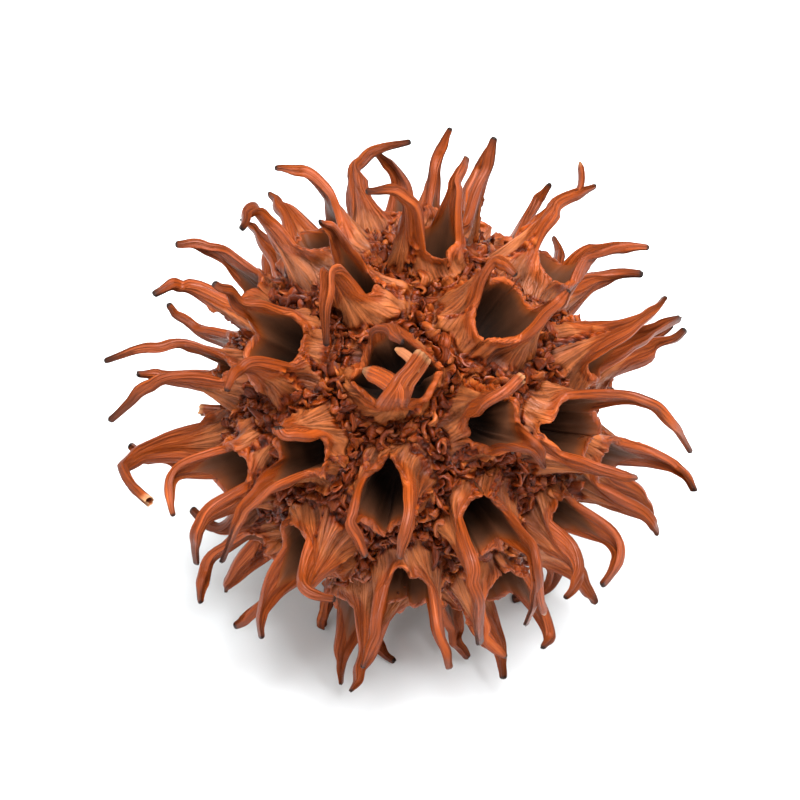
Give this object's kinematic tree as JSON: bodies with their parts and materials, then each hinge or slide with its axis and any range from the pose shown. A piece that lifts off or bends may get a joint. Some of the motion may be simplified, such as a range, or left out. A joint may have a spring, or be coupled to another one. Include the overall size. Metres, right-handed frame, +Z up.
{
  "type": "sweetgum seed pod",
  "caption": "Dry woody sweetgum seed pod: a round head of fused capsules with gaping mouths, each mouth between two curved beaks, lying on three beak tips.",
  "frame": {"origin": "on the surface the pod lies on, below the middle of its box", "axes": "+Z up from the surface; -Y towards the side that the picture shows, which also faces up; +X to that side's right"},
  "size_m": [0.0447, 0.0427, 0.0402],
  "materials": {
    "pod_wood": "dry fibrous capsule wood, rust brown, satin, unfinished"
  },
  "bodies": {
    "root": {"seed_pod": "pod_wood"}
  },
  "joints": []
}
